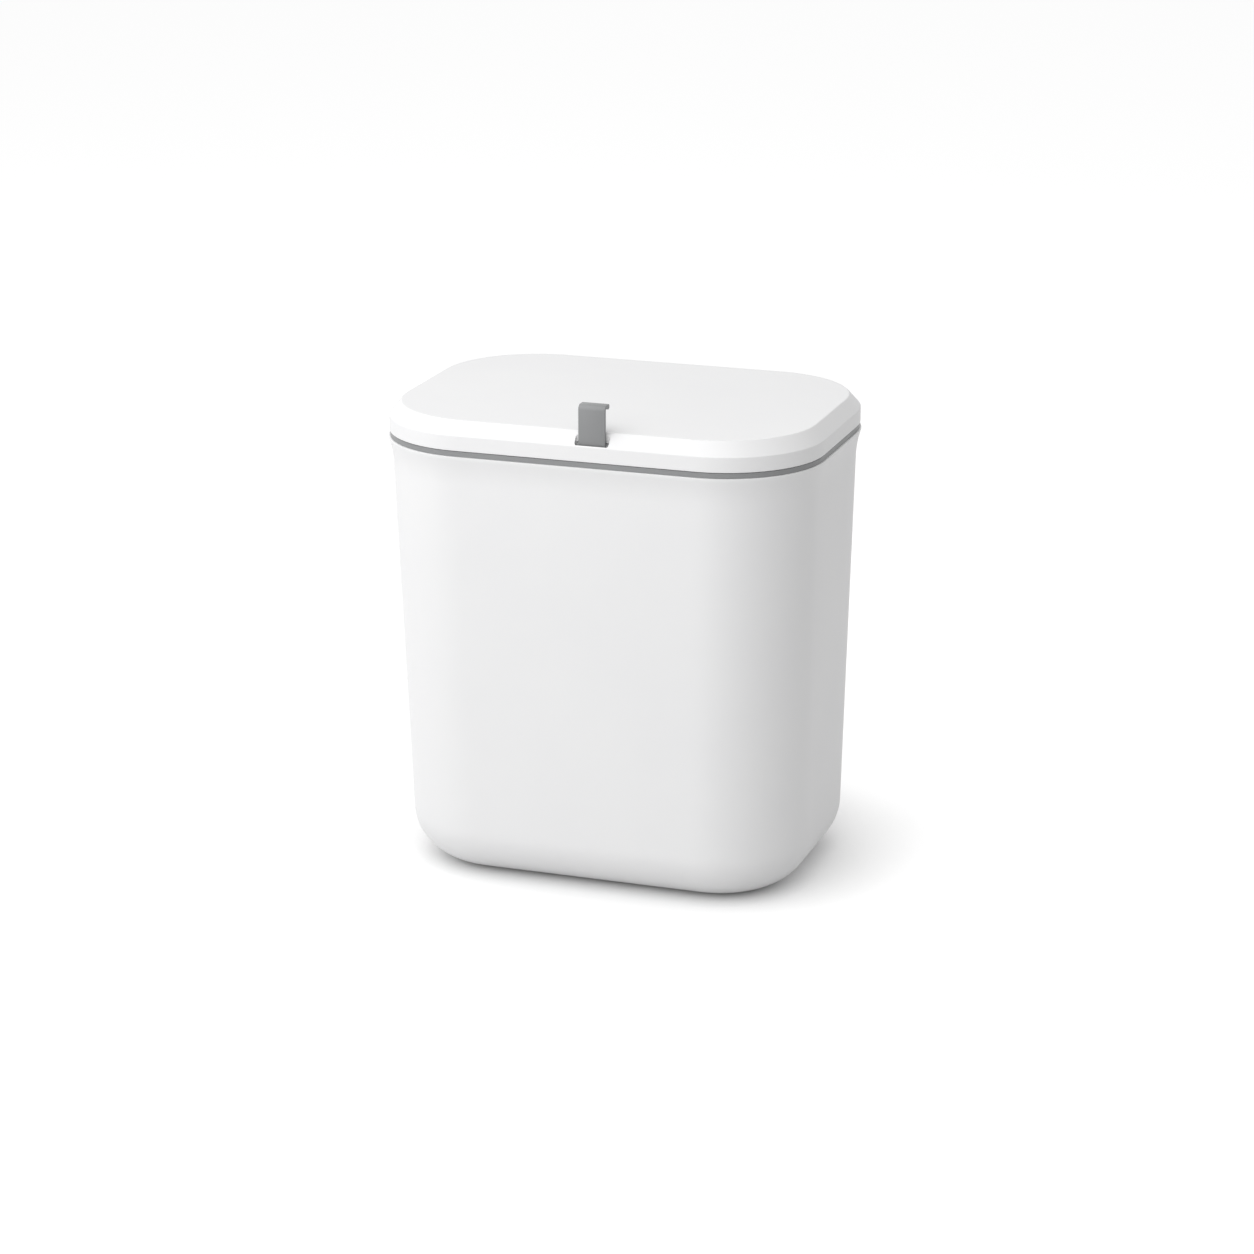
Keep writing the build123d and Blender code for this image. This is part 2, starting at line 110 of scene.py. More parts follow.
lamp = bpy.data.objects.new("lamp", bpy.data.lights.new("lamp", "AREA"))
lamp.data.shape = "DISK"
lamp.data.size = 2.4
lamp.data.energy = 18.6
towards_lamp = Vector((-0.31, -0.46, 0.55)).normalized()
lamp_distance = 1.3
lamp.location = camera_target + towards_lamp * lamp_distance
lamp.rotation_euler = towards_lamp.to_track_quat("Z", "Y").to_euler()
bpy.context.scene.collection.objects.link(lamp)


# Floor
# Matt pale paper that runs out past the view. It is lit as the bin is and keeps its shadow. A glow of
# its own, only in what is seen, takes it to white, and where the bin stands over it that glow is
# darkened as a painted contact shadow.
def linear(code):
    """An sRGB hex colour as linear red, green, blue and alpha."""
    parts = [int(code[i : i + 2], 16) / 255 for i in (0, 2, 4)]
    return tuple(p / 12.92 if p <= 0.04045 else ((p + 0.055) / 1.055) ** 2.4 for p in parts) + (1.0,)


def new_material(name):
    """A material with an empty node tree, and that tree."""
    material = bpy.data.materials.new(name)
    material.use_nodes = True
    material.node_tree.nodes.clear()
    return material, material.node_tree


floor_half = 4.0
fibre_length = 4 * mm
shade_reach = 70 * mm
white_lift = 0.62
floor_mesh = bpy.data.meshes.new("floor")
floor_corners = [(x * floor_half, y * floor_half, 0) for x, y in ((-1, -1), (1, -1), (1, 1), (-1, 1))]
floor_mesh.from_pydata(floor_corners, [], [(0, 1, 2, 3)])
floor = bpy.data.objects.new("floor", floor_mesh)
bpy.context.scene.collection.objects.link(floor)

paper, tree = new_material("matt pale paper")
place = add_node(tree, "ShaderNodeTexCoord").outputs["Object"]
fibre = add_node(tree, "ShaderNodeTexNoise", {"Vector": place, "Scale": 1 / fibre_length, "Detail": 3.0})
tone = add_node(
    tree,
    "ShaderNodeMix",
    {0: fibre.outputs[0], 6: linear("D3D3D3"), 7: linear("D6D6D6")},
    data_type="RGBA",
)
matt = add_node(tree, "ShaderNodeBsdfDiffuse", {"Color": tone.outputs[2]})
# Ambient occlusion darkens the floor's glow under and beside the bin: painted contact shadow.
painted_contact_shade = add_node(tree, "ShaderNodeAmbientOcclusion", {"Distance": shade_reach}, samples=16)
lift = add_node(tree, "ShaderNodeMath", {0: is_seen(tree), 1: painted_contact_shade.outputs[1]}, operation="MULTIPLY")
lift = add_node(tree, "ShaderNodeMath", {0: lift.outputs[0], 1: white_lift}, operation="MULTIPLY")
glow = add_node(tree, "ShaderNodeEmission", {"Strength": lift.outputs[0]})
both = add_node(tree, "ShaderNodeAddShader", {0: matt.outputs[0], 1: glow.outputs[0]})
add_node(tree, "ShaderNodeOutputMaterial", {"Surface": both.outputs[0]})
floor.data.materials.append(paper)

# Bucket
# One moulding in white polypropylene: a drafted tub with a large round lower edge, a foot ring under
# it, and a rim that flares out to carry the bag ring.
lid_width = 250.0 * mm
lid_depth = 179.5 * mm
lid_corner = 56.4 * mm
middle_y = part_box("lid_cover")[0].y + lid_depth / 2
rim_z = 251.0 * mm
rim_overhang = 0.75 * mm
rim_edge = 0.6 * mm
flare_height = 18.0 * mm
neck_z = rim_z - flare_height
neck_inset = 2.2 * mm
side_taper = 5.7 * mm
front_taper = 11.1 * mm
back_taper = 3.0 * mm
foot_corner = 53.0 * mm
bottom_round = 29.0 * mm
bucket_wall = 2.2 * mm
bucket_floor = 4.0 * mm
foot_ring = 7.0 * mm
foot_ring_height = 1.4 * mm
centre_inset = 60.0 * mm
least_corner = 0.02 * mm
wall_shares = (0.2, 0.5, 0.8)
bend_steps = 16
flare_steps = 9
sharp_edge = math.radians(35)
# A rounded rim's middle point stands in by this share of the rim's radius.
mid_share = 0.3


def rounded_outline(half_u, half_v, radius, steps=16):
    """Points (u, v) round a rounded rectangle about (0, 0), the same number of them at any size."""
    radius = max(radius, least_corner)
    points = []
    for corner in range(4):
        side_u = 1 if corner in (0, 3) else -1
        side_v = 1 if corner < 2 else -1
        for step in range(steps + 1):
            angle = math.pi / 2 * (corner + step / steps)
            u = side_u * (half_u - radius) + radius * math.cos(angle)
            points.append((u, side_v * (half_v - radius) + radius * math.sin(angle)))
    return points


def plan_loop(half_x, front, back, radius, z):
    """A rounded rectangle seen from above, at height z."""
    centre_y = middle_y + (back - front) / 2
    return [Vector((u, centre_y + v, z)) for u, v in rounded_outline(half_x, (front + back) / 2, radius)]


def bucket_back(z):
    """How far the bucket's back wall stands behind the lid's middle at height z."""
    return lid_depth / 2 - neck_inset - back_taper * max(0.0, 1 - z / neck_z)


def bucket_loop(z, inset):
    """The bucket's outline at height z, moved in by inset."""
    neck_corner = lid_corner - neck_inset
    drop = max(0.0, 1 - z / neck_z)
    flare = (neck_inset + rim_overhang) * max(0.0, (z - neck_z) / flare_height) ** 2
    half_x = lid_width / 2 - neck_inset - side_taper * drop + flare - inset
    front = lid_depth / 2 - neck_inset - front_taper * drop + flare - inset
    radius = neck_corner + (foot_corner - neck_corner) * drop + flare - inset
    return plan_loop(half_x, front, bucket_back(z) + flare - inset, radius, z)


def as_piece(name, mesh):
    """Turn a finished bmesh into an object of the scene."""
    data = bpy.data.meshes.new(name)
    mesh.to_mesh(data)
    mesh.free()
    piece = bpy.data.objects.new(name, data)
    bpy.context.scene.collection.objects.link(piece)
    return piece


def shell(name, loops, closed=False):
    """A mesh that joins each loop of points to the next. Its two ends are faces, or meet if closed."""
    mesh = bmesh.new()
    rings = [[mesh.verts.new(point) for point in loop] for loop in loops]
    pairs = list(zip(rings, rings[1:]))
    if closed:
        pairs.append((rings[-1], rings[0]))
    else:
        mesh.faces.new(rings[0])
        mesh.faces.new(rings[-1])
    for low, high in pairs:
        for i in range(len(low)):
            j = (i + 1) % len(low)
            mesh.faces.new((low[i], low[j], high[j], high[i]))
    bmesh.ops.recalc_face_normals(mesh, faces=mesh.faces)
    return as_piece(name, mesh)


def coat(piece, material):
    """Give a piece its material, shaded smooth but for its sharp edges."""
    piece.data.materials.clear()
    piece.data.materials.append(material)
    piece.data.shade_smooth()
    piece.data.set_sharp_from_angle(angle=sharp_edge)


quarter = [math.pi / 2 * i / bend_steps for i in range(bend_steps + 1)]
foot_inner = bottom_round + foot_ring
inner_round = bottom_round - bucket_wall
top_inset = bucket_wall - rim_edge
bucket_line = [(foot_ring_height, centre_inset), (foot_ring_height, foot_inner + rim_edge)]
bucket_line += [(0, foot_inner)]
bucket_line += [(bottom_round * (1 - math.cos(a)), bottom_round * (1 - math.sin(a))) for a in quarter]
bucket_line += [(bottom_round + (neck_z - bottom_round) * share, 0) for share in wall_shares]
flare_rise = flare_height - rim_edge
bucket_line += [(neck_z + flare_rise * i / flare_steps, 0) for i in range(flare_steps + 1)]
bucket_line += [(rim_z - mid_share * rim_edge, mid_share * rim_edge), (rim_z, rim_edge)]
bucket_line += [(rim_z, top_inset), (rim_z - mid_share * rim_edge, bucket_wall - mid_share * rim_edge)]
for i in range(flare_steps + 1):
    bucket_line.append((rim_z - rim_edge - flare_rise * i / flare_steps, bucket_wall))
for a in reversed(quarter):
    inset = bucket_wall + inner_round * (1 - math.sin(a))
    bucket_line.append((bucket_floor + inner_round * (1 - math.cos(a)), inset))
bucket_line.append((bucket_floor, centre_inset))
bucket = shell("bucket_shell", [bucket_loop(z, inset) for z, inset in bucket_line])


def polypropylene(name, dark, light, drift, grain, satin):
    """Moulded polypropylene of two near tones. Drift is the width of its flow, satin its roughness."""
    material, tree = new_material(name)
    place = add_node(tree, "ShaderNodeTexCoord").outputs["Object"]
    flow = add_node(tree, "ShaderNodeTexNoise", {"Vector": place, "Scale": 1 / drift, "Detail": 2.0})
    tone = add_node(
        tree,
        "ShaderNodeMix",
        {0: flow.outputs[0], 6: linear(dark), 7: linear(light)},
        data_type="RGBA",
    )
    bloom = add_node(tree, "ShaderNodeTexNoise", {"Vector": place, "Scale": 1 / grain, "Detail": 2.0})
    gloss = add_node(
        tree,
        "ShaderNodeMapRange",
        {"Value": bloom.outputs[0], "To Min": satin[0], "To Max": satin[1]},
    )
    relief = add_node(
        tree,
        "ShaderNodeBump",
        {"Height": bloom.outputs[0], "Strength": 0.2, "Distance": 0.02 * mm},
    )
    skin = add_node(
        tree,
        "ShaderNodeBsdfPrincipled",
        {
            "Base Color": tone.outputs[2],
            "Roughness": gloss.outputs[0],
            "Normal": relief.outputs[0],
            "IOR": 1.49,
        },
    )
    add_node(tree, "ShaderNodeOutputMaterial", {"Surface": skin.outputs[0]})
    return material


# Moulded polypropylene: satin, so its highlights are soft and it mirrors nothing, under the fine
# bloom that a spark eroded mould leaves. The bloom's real grain of 0.3 mm is drawn at 0.8 mm.
white_plastic = polypropylene(
    "moulded white polypropylene",
    dark="EEEEEF",
    light="F2F2F2",
    drift=60 * mm,
    grain=0.8 * mm,
    satin=(0.36, 0.46),
)
coat(bucket, white_plastic)
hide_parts("bucket")
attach(bucket, "bin")

# Hanger
# A white polypropylene plate on the bucket's back with two closed-topped sockets, which drop over the
# wall bracket's tongues. Four blind bosses take its screws.
socket_low = rim_z - 61.0 * mm
tongue_reach = 20.0 * mm
socket_fit = 0.3 * mm
socket_high = socket_low + tongue_reach + socket_fit
socket_wall = 2.4 * mm
socket_roof = 3.0 * mm
socket_slope = 11.0 * mm
hanger_half = 56.0 * mm
hanger_height = 40.0 * mm
hanger_thickness = 2.4 * mm
hanger_corner = 5 * mm
hanger_edge = 0.5 * mm
socket_edge = 0.6 * mm
hanger_z = socket_high + socket_roof + socket_slope - hanger_height / 2
boss_height = 8.4 * mm
boss_radius = 3.8 * mm
boss_edge = 0.4 * mm
boss_x = 49 * mm
boss_rise = 13 * mm
tongue_half = 8.0 * mm
tongue_x = 30.0 * mm
tongue_low, tongue_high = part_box("wall_bracket")
tongue_front = tongue_low.y
tongue_thickness = 3.0 * mm
tongue_back = tongue_front + tongue_thickness
socket_back = tongue_back + socket_fit + socket_wall
back_lean = math.atan2(back_taper, neck_z)
# Joined shapes run this far into each other, and cuts run this far past an open end.
overlap = 1 * mm


def on_back(x, z):
    """Turns a mesh so that its own Z points straight out of the bucket's back wall at (x, z)."""
    turn = Matrix.Rotation(-math.pi / 2 - back_lean, 4, "X")
    return Matrix.Translation((x, middle_y + bucket_back(z), z)) @ turn


def slab(name, half_u, half_v, radius, low, high, edge):
    """A rounded rectangle with thickness from low to high and its rims rounded by edge."""
    middle = mid_share * edge
    levels = [(low, edge), (low + middle, middle), (low + edge, 0)]
    levels += [(high - edge, 0), (high - middle, middle), (high, edge)]
    loops = []
    for level, inset in levels:
        outline = rounded_outline(half_u - inset, half_v - inset, radius - inset, steps=6)
        loops.append([Vector((u, v, level)) for u, v in outline])
    return shell(name, loops)


def turned(name, line, steps=28):
    """A round piece from a line of (radius, height) points."""
    turns = [2 * math.pi * i / steps for i in range(steps)]
    return shell(name, [[Vector((r * math.cos(a), r * math.sin(a), h)) for a in turns] for r, h in line])


def settle(piece):
    """Make a piece's modifiers part of its mesh."""
    bpy.context.view_layer.update()
    graph = bpy.context.evaluated_depsgraph_get()
    piece.data = bpy.data.meshes.new_from_object(piece.evaluated_get(graph))
    piece.modifiers.clear()


def bar(name, outline, low, high, edge=0.0):
    """A bar along X with an outline of (y, z) points. Its edges are rounded by edge."""
    piece = shell(name, [[Vector((x, y, z)) for y, z in outline] for x in (low, high)])
    if edge:
        soft = piece.modifiers.new("soft edges", "BEVEL")
        soft.width = edge
        soft.segments = 2
        soft.limit_method = "ANGLE"
        soft.angle_limit = math.radians(40)
        settle(piece)
    return piece


def block(name, low, high):
    """A box between two corners."""
    outline = [(low[1], low[2]), (high[1], low[2]), (high[1], high[2]), (low[1], high[2])]
    return bar(name, outline, low[0], high[0])


def combine(piece, other, operation):
    """Join or cut a piece with another mesh, which is used up."""
    change = piece.modifiers.new(operation, "BOOLEAN")
    change.operation = operation
    change.object = other
    settle(piece)
    bpy.data.objects.remove(other)


hanger = slab(
    "hanger_plate", hanger_half, hanger_height / 2, hanger_corner, 0, hanger_thickness, hanger_edge
)
hanger.data.transform(on_back(0, hanger_z))
for side in (-1, 1):
    x = side * tongue_x
    half = tongue_half + socket_fit + socket_wall
    roof = socket_high + socket_roof
    profile = [
        (middle_y + bucket_back(socket_low) + overlap, socket_low),
        (socket_back, socket_low),
        (socket_back, roof),
        (middle_y + bucket_back(roof) + overlap, roof + socket_slope),
    ]
    combine(hanger, bar("socket", profile, x - half, x + half, socket_edge), "UNION")
    half = tongue_half + socket_fit
    front = tongue_front - socket_fit
    low = (x - half, front, socket_low - overlap)
    combine(hanger, block("pocket", low, (x + half, tongue_back + socket_fit, socket_high)), "DIFFERENCE")
    low = (x - half, middle_y + bucket_back(socket_high) + hanger_thickness, socket_low - overlap)
    combine(hanger, block("core", low, (x + half, front - socket_wall, socket_high)), "DIFFERENCE")
    for level in (-1, 1):
        line = [(boss_radius, overlap), (boss_radius, boss_height - boss_edge)]
        boss = turned("boss", line + [(boss_radius - boss_edge, boss_height)])
        boss.data.transform(on_back(side * boss_x, hanger_z + level * boss_rise))
        combine(hanger, boss, "UNION")
coat(hanger, white_plastic)
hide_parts("hanger")
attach(hanger, "bin")

# Screws
# Pan-headed self-tapping screws with a cross recess, cold headed from steel wire and zinc plated:
# four from inside the bucket into the hanger, and later six that hold the lid's liner.
screw_radius = 1.4 * mm
head_radius = 3.0 * mm
head_height = 1.6 * mm
crown_radius = 1.9 * mm
tip_radius = 0.3 * mm
tip_length = 1.2 * mm
recess_reach = 1.7 * mm
recess_half = 0.4 * mm
recess_depth = 0.9 * mm
recess_turn = 20
hanger_screw_length = 9.4 * mm
# Heads and pressed pieces sit this far off what carries them, so that no two faces share a place.
seat_gap = 0.02 * mm


def gather(name, parts):
    """Put several meshes into one piece, which uses them up."""
    mesh = bmesh.new()
    for part in parts:
        mesh.from_mesh(part.data)
        bpy.data.objects.remove(part)
    return as_piece(name, mesh)


def screws(name, length, places):
    """Self-tapping screws in one mesh. Each head's flat underside is at its place, the shank along Z."""
    parts = []
    for where in places:
        line = [
            (crown_radius, -head_height),
            (2.5 * mm, -head_height + 0.15 * mm),
            (head_radius - 0.1 * mm, -head_height + 0.75 * mm),
            (head_radius, -0.3 * mm),
            (head_radius - 0.15 * mm, 0),
            (screw_radius, 0),
            (screw_radius, length - tip_length),
            (tip_radius, length),
        ]
        screw = turned("screw", line, 24)
        for turn in (0, 90):
            low = (-recess_reach, -recess_half, -head_height - overlap)
            slot = block("recess", low, (recess_reach, recess_half, -head_height + recess_depth))
            slot.data.transform(Matrix.Rotation(math.radians(turn + recess_turn), 4, "Z"))
            combine(screw, slot, "DIFFERENCE")
        screw.data.transform(where)
        parts.append(screw)
    return gather(name, parts)


wall_through = bucket_wall * math.cos(back_lean) + seat_gap
hanger_places = []
for side in (-1, 1):
    for level in (-1, 1):
        base = on_back(side * boss_x, hanger_z + level * boss_rise)
        hanger_places.append(base @ Matrix.Translation((0, 0, -wall_through)))
hanger_screws = screws("hanger_screw_set", hanger_screw_length, hanger_places)

# Zinc plated steel: bright, with a cool cast and a slight cloud in its gloss, 2 mm wide.
cloud_width = 2 * mm
zinc, tree = new_material("zinc plated steel")
place = add_node(tree, "ShaderNodeTexCoord").outputs["Object"]
cloud = add_node(tree, "ShaderNodeTexNoise", {"Vector": place, "Scale": 1 / cloud_width, "Detail": 3.0})
tone = add_node(
    tree,
    "ShaderNodeMix",
    {0: cloud.outputs[0], 6: linear("BFC3C7"), 7: linear("D3D5D7")},
    data_type="RGBA",
)
plating = add_node(tree, "ShaderNodeMapRange", {"Value": cloud.outputs[0], "To Min": 0.22, "To Max": 0.4})
skin = add_node(
    tree,
    "ShaderNodeBsdfPrincipled",
    {"Base Color": tone.outputs[2], "Roughness": plating.outputs[0], "Metallic": 1.0},
)
add_node(tree, "ShaderNodeOutputMaterial", {"Surface": skin.outputs[0]})
coat(hanger_screws, zinc)
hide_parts("hanger_screws")
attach(hanger_screws, "bin")

# Bumpers
# Two grey rubber feet low on the back, which hold the hanging bin upright. Each has a stem that is
# pulled through the bucket's wall until the bulb at its end holds it.
bumper_x = 45.0 * mm
bumper_z = 45.0 * mm
wall_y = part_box("mounting_pad_left")[1].y
bumper_length = wall_y - middle_y - bucket_back(bumper_z)
bumper_base = 10.5 * mm
bumper_tip = 7.7 * mm
stem_radius = 2.5 * mm
bulb_radius = 3.5 * mm
bulb_length = 4.0 * mm

# Moulded rubber: dull, with a fine dusty skin. Its dust of about 0.5 mm is drawn at 1.5 mm.
dust_size = 1.5 * mm
rubber, tree = new_material("moulded grey rubber")
place = add_node(tree, "ShaderNodeTexCoord").outputs["Object"]
dust = add_node(tree, "ShaderNodeTexNoise", {"Vector": place, "Scale": 1 / dust_size, "Detail": 4.0})
tone = add_node(
    tree,
    "ShaderNodeMix",
    {0: dust.outputs[0], 6: linear("5C5D5F"), 7: linear("66676A")},
    data_type="RGBA",
)
grain = add_node(tree, "ShaderNodeBump", {"Height": dust.outputs[0], "Strength": 0.3, "Distance": 0.05 * mm})
skin = add_node(
    tree,
    "ShaderNodeBsdfPrincipled",
    {"Base Color": tone.outputs[2], "Roughness": 0.75, "Normal": grain.outputs[0]},
)
add_node(tree, "ShaderNodeOutputMaterial", {"Surface": skin.outputs[0]})
for name, side in (("left", -1), ("right", 1)):
    line = [
        (1.25 * mm, -bucket_wall - bulb_length),
        (2.4 * mm, -bucket_wall - 2.2 * mm),
        (bulb_radius, -bucket_wall - 0.25 * mm),
        (3.35 * mm, -bucket_wall - 0.05 * mm),
        (stem_radius, -bucket_wall - 0.05 * mm),
        (stem_radius, -0.5 * mm),
        (bumper_base, -0.15 * mm),
        (bumper_tip, bumper_length - 1.0 * mm),
        (7.3 * mm, bumper_length - 0.35 * mm),
        (6.6 * mm, bumper_length),
    ]
    bumper = turned("rubber_foot_" + name, line, 40)
    base = Matrix.Translation((side * bumper_x, middle_y + bucket_back(bumper_z), bumper_z))
    bumper.data.transform(base @ Matrix.Rotation(-math.pi / 2, 4, "X"))
    coat(bumper, rubber)
    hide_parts("bumper_" + name)
    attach(bumper, "bin")

# Bag ring
# A grey polypropylene moulding that drops onto the rim. Its flange's edge shows as a thin band, and
# its collar holds the bag against the bucket. Four lugs behind it carry the hinge pins.
ring_high = 254.0 * mm
band_inset = 0.4 * mm
collar_inset = 4.87 * mm
collar_wall = 2.0 * mm
collar_inner = collar_inset + collar_wall
collar_low = rim_z - 13.0 * mm
ring_edge = 0.35 * mm


def rounded_line(line, radii):
    """Round each corner of a line of (inset, z, corner radius) points, with a point held on each side."""
    corner_steps = 4
    hold = 1.2
    most_share = 0.4
    out = []
    count = len(line)
    for i, radius in enumerate(radii):
        here = Vector(line[i])
        if radius == 0:
            out.append(here)
            continue
        before = Vector(line[i - 1])
        after = Vector(line[(i + 1) % count])
        back = (before - here).to_2d()
        ahead = (after - here).to_2d()
        reach = radius / math.tan(back.angle(ahead) / 2)
        share_back = min(reach / back.length, most_share)
        share_ahead = min(reach / ahead.length, most_share)
        start = here.lerp(before, share_back)
        end = here.lerp(after, share_ahead)
        out.append(here.lerp(before, hold * share_back))
        for step in range(corner_steps + 1):
            t = step / corner_steps
            out.append(start.lerp(here, t).lerp(here.lerp(end, t), t))
        out.append(here.lerp(after, hold * share_ahead))
    return out


def lid_loop(point):
    """The lid's outline for one (inset, z, corner radius) point."""
    half_y = lid_depth / 2 - point.x
    return plan_loop(lid_width / 2 - point.x, half_y, half_y, point.z, point.y)


ring_line = [
    (band_inset, rim_z),
    (band_inset, ring_high),
    (collar_inner, ring_high),
    (collar_inner, collar_low),
    (collar_inset, collar_low),
    (collar_inset, rim_z),
]
ring_line = rounded_line([(inset, z, lid_corner - inset) for inset, z in ring_line], [ring_edge] * 6)
bag_ring = shell("ring", [lid_loop(point) for point in ring_line], closed=True)


def arc(centre_y, centre_z, radius, start, end, steps):
    """Points (y, z) along an arc, its angles in degrees from +Y towards +Z."""
    angles = [math.radians(start + (end - start) * i / steps) for i in range(steps + 1)]
    return [(centre_y + radius * math.cos(a), centre_z + radius * math.sin(a)) for a in angles]


hinge_x = 50.0 * mm
hinge_y = middle_y + lid_depth / 2 + 4.2 * mm
hinge_z = 260.0 * mm
knuckle_radius = 3.4 * mm
knuckle_half = 8.0 * mm
lug_gap = 0.4 * mm
lug_width = 4.0 * mm
lug_edge = 0.3 * mm
lug_root = middle_y + lid_depth / 2 - 3 * mm
lug_line = [(lug_root, rim_z), (hinge_y + knuckle_radius, rim_z)]
lug_line += arc(hinge_y, hinge_z, knuckle_radius, 0, 180, 12)
lug_line += [(hinge_y - knuckle_radius, ring_high), (lug_root, ring_high)]
for x in (-hinge_x, hinge_x):
    for side in (-1, 1):
        near = x + side * (knuckle_half + lug_gap)
        far = near + side * lug_width
        lug = bar("lug", lug_line, min(near, far), max(near, far), lug_edge)
        combine(bag_ring, lug, "UNION")

# Grey polypropylene from a finer mould than the white, and a little duller. Its 0.3 mm grain is drawn
# at 0.6 mm.
grey_plastic = polypropylene(
    "moulded grey polypropylene",
    dark="8B8C8D",
    light="8F9091",
    drift=20 * mm,
    grain=0.6 * mm,
    satin=(0.38, 0.5),
)
coat(bag_ring, grey_plastic)
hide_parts("bag_ring")
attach(bag_ring, "ring")

# Hinge pins
# Steel pins turned from bright bar, pushed through the lugs and knuckles from the outside. Their
# heads rest on the outer lugs.
pin_radius = 1.5 * mm
pin_half = knuckle_half + lug_gap + lug_width
pin_edge = 0.3 * mm
pin_head_radius = 2.4 * mm
pin_head_height = 1.0 * mm

# Bright turned steel: fine rings from the lathe vary its gloss. They are drawn about 1.9 mm apart, so
# that they show: the wave node draws a ring each 0.314 of this width.
lathe_width = 6 * mm
bright_steel, tree = new_material("bright turned steel")
place = add_node(tree, "ShaderNodeTexCoord").outputs["Object"]
lines = add_node(tree, "ShaderNodeTexWave", {"Vector": place, "Scale": 1 / lathe_width, "Distortion": 1.0})
lathe = add_node(tree, "ShaderNodeMapRange", {"Value": lines.outputs[1], "To Min": 0.2, "To Max": 0.32})
tone = add_node(
    tree,
    "ShaderNodeMix",
    {0: lines.outputs[1], 6: linear("B9BABC"), 7: linear("C6C7C9")},
    data_type="RGBA",
)
skin = add_node(
    tree,
    "ShaderNodeBsdfPrincipled",
    {"Base Color": tone.outputs[2], "Roughness": lathe.outputs[0], "Metallic": 1.0},
)
add_node(tree, "ShaderNodeOutputMaterial", {"Surface": skin.outputs[0]})
for name, side in (("left", -1), ("right", 1)):
    line = [
        (pin_radius - pin_edge, -pin_half),
        (pin_radius, -pin_half + pin_edge),
        (pin_radius, pin_half),
        (pin_head_radius - 0.1 * mm, pin_half),
        (pin_head_radius, pin_half + 0.1 * mm),
        (pin_head_radius, pin_half + pin_head_height - pin_edge),
        (pin_head_radius - pin_edge, pin_half + pin_head_height),
    ]
    pin = turned("hinge_pin_" + name + "_turned", line)
    base = Matrix.Translation((side * hinge_x, hinge_y, hinge_z))
    pin.data.transform(base @ Matrix.Rotation(side * math.pi / 2, 4, "Y"))
    coat(pin, bright_steel)
    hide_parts("hinge_pin_" + name)
    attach(pin, "ring")

# Keeper
# A steel strip bent to an L and riveted to the inside of the ring's collar. The nose of the lock tab
# goes under its lip.
tab_x = 10.6 * mm
lid_front = middle_y - lid_depth / 2
collar_front = lid_front + collar_inset
keeper_foot = lid_front + collar_inner + seat_gap
keeper_z = 246.0 * mm
keeper_thickness = 1 * mm
keeper_reach = 5.7 * mm
keeper_height = 6.5 * mm
keeper_half = 7 * mm
keeper_edge = 0.2 * mm
keeper_line = [
    (keeper_foot, keeper_z),
    (keeper_foot + keeper_reach, keeper_z),
    (keeper_foot + keeper_reach, keeper_z + keeper_thickness),
    (keeper_foot + keeper_thickness, keeper_z + keeper_thickness),
    (keeper_foot + keeper_thickness, keeper_z + keeper_height),
    (keeper_foot, keeper_z + keeper_height),
]
keeper = bar("keeper_strip", keeper_line, tab_x - keeper_half, tab_x + keeper_half, keeper_edge)
coat(keeper, bright_steel)
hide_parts("tab_keeper")
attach(keeper, "ring")

rivet_x = 4 * mm
rivet_rise = 3.0 * mm
rivet_radius = 1 * mm
rivet_head_radius = 1.8 * mm
rivet_end = keeper_foot + keeper_thickness + seat_gap - collar_front
rivet_line = [
    (1.2 * mm, -0.5 * mm),
    (1.7 * mm, -0.35 * mm),
    (rivet_head_radius, -seat_gap),
    (rivet_radius, -seat_gap),
    (rivet_radius, rivet_end),
    (rivet_head_radius, rivet_end),
    (1.6 * mm, rivet_end + 0.3 * mm),
    (1.0 * mm, rivet_end + 0.5 * mm),
]
rivet_parts = []
for x in (tab_x - rivet_x, tab_x + rivet_x):
    rivet = turned("rivet", rivet_line, 24)
    base = Matrix.Translation((x, collar_front, keeper_z + rivet_rise))
    rivet.data.transform(base @ Matrix.Rotation(-math.pi / 2, 4, "X"))
    rivet_parts.append(rivet)
rivets = gather("rivet_pair", rivet_parts)
coat(rivets, bright_steel)
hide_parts("keeper_rivets")
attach(rivets, "ring")

# Lid cover
# A white polypropylene shell: an upright skirt, a sloped bevel and a flat top with soft creases. A
# slot in the front bevel lets the lock tab through, two ears under it hold the tab's pin, and two
# knuckles behind the skirt turn on the hinge pins.
skirt_z = 254.3 * mm
crease_z = 262.7 * mm
top_z = 270.4 * mm
bevel_inset = 5.8 * mm
top_corner = 54.0 * mm
lid_wall = 2.2 * mm
crease_round = 0.9 * mm
foot_edge = 0.4 * mm
slope = math.atan2(top_z - crease_z, bevel_inset)
inner_crease = crease_z - lid_wall * math.tan((math.pi / 2 - slope) / 2)
inner_top = bevel_inset + lid_wall * math.tan(slope / 2)
inner_corner = top_corner - lid_wall * math.tan(slope / 2)
cap_inset = 30.0 * mm
lid_line = [
    (cap_inset, top_z - lid_wall, inner_corner + inner_top - cap_inset),
    (inner_top, top_z - lid_wall, inner_corner),
    (lid_wall, inner_crease, lid_corner - lid_wall),
    (lid_wall, skirt_z, lid_corner - lid_wall),
    (0, skirt_z, lid_corner),
    (0, crease_z, lid_corner),
    (bevel_inset, top_z, top_corner),
    (cap_inset, top_z, top_corner + bevel_inset - cap_inset),
]
lid_edges = [0, crease_round, crease_round, foot_edge, foot_edge, crease_round, crease_round, 0]
lid_cover = shell("lid_shell", [lid_loop(point) for point in rounded_line(lid_line, lid_edges)])

